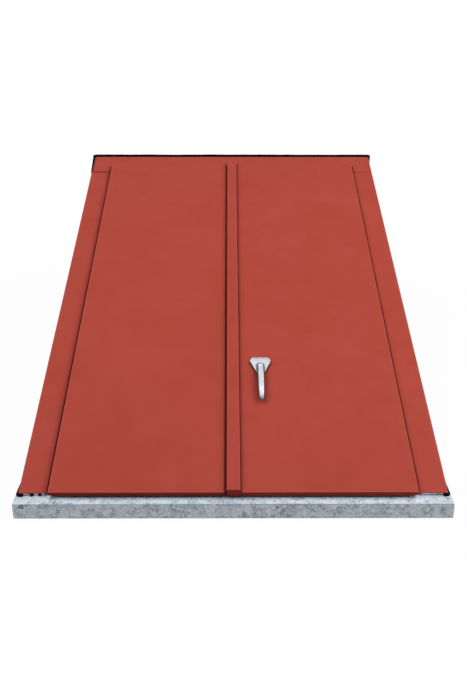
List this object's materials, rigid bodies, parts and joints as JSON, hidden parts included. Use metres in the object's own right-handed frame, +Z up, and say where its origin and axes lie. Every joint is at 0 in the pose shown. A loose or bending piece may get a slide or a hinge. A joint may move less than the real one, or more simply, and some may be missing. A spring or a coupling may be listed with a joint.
{
  "type": "sloping steel bulkhead cellar door",
  "caption": "Sloping bulkhead cellar door: painted steel leaves hinged on a gutter frame, with a turning handle, on a galvanised base.",
  "frame": {"origin": "centre of the ground rectangle that the door covers, at the underside of the galvanised base", "axes": "+X to the right seen from the garden, +Y level towards the house wall, +Z up"},
  "size_m": [1.311, 1.984, 0.6801],
  "materials": {
    "red_paint": "satin red primer paint on sheet steel",
    "galvanised_base": "hot-dip galvanised, mottled spangle",
    "black_seal": "matt black foam rubber",
    "cast_handle": "cast, satin silver",
    "plated_steel": "zinc plated"
  },
  "bodies": {
    "frame": {"base_front_rail": "galvanised_base", "base_left_corner_plate": "galvanised_base", "base_left_rail": "galvanised_base", "base_right_corner_plate": "galvanised_base", "base_right_rail": "galvanised_base", "header": "red_paint", "header_seals": "black_seal", "left_base_seal": "black_seal", "left_end_seal": "black_seal", "left_front_closure": "galvanised_base", "left_gutter": "red_paint", "left_hinge_brackets": "plated_steel", "left_hinge_pins": "plated_steel", "left_side_panel": "red_paint", "left_wall_seal": "black_seal", "right_base_seal": "black_seal", "right_front_closure": "galvanised_base", "right_gutter": "red_paint", "right_hinge_brackets": "plated_steel", "right_hinge_pins": "plated_steel", "right_side_panel": "red_paint", "right_wall_seal": "black_seal", "sill_seals": "black_seal", "thresholds": "galvanised_base", "wall_seal_top": "black_seal"},
    "left_leaf": {"left_leaf_panel": "red_paint", "latch_strike": "plated_steel", "centre_seal": "black_seal", "left_hinge_straps": "plated_steel", "left_stiffener_1": "red_paint", "left_stiffener_2": "red_paint", "left_stiffener_3": "red_paint", "left_stiffener_4": "red_paint"},
    "right_leaf": {"right_leaf_panel": "red_paint", "cover_strip": "red_paint", "right_hinge_straps": "plated_steel", "spindle_bush": "plated_steel", "right_stiffener_1": "red_paint", "right_stiffener_2": "red_paint", "right_stiffener_3": "red_paint", "right_stiffener_4": "red_paint"},
    "handle": {"handle_head": "cast_handle", "handle_lever": "cast_handle", "handle_spindle": "plated_steel", "latch_bar": "plated_steel"}
  },
  "joints": [
    {"name": "left_leaf_hinge", "type": "hinge", "parent": "frame", "child": "left_leaf", "pos_m": [-0.5465, -0.02969, 0.35847], "axis": [0, -0.9535, -0.3014], "range_deg": [0, 100]},
    {"name": "right_leaf_hinge", "type": "hinge", "parent": "frame", "child": "right_leaf", "pos_m": [0.5465, -0.02969, 0.35847], "axis": [0, 0.9535, 0.3014], "range_deg": [0, 100]},
    {"name": "handle_turn", "type": "hinge", "parent": "right_leaf", "child": "handle", "pos_m": [0.095, -0.43006, 0.24136], "axis": [0, -0.3014, 0.9535], "range_deg": [0, 90]}
  ]
}
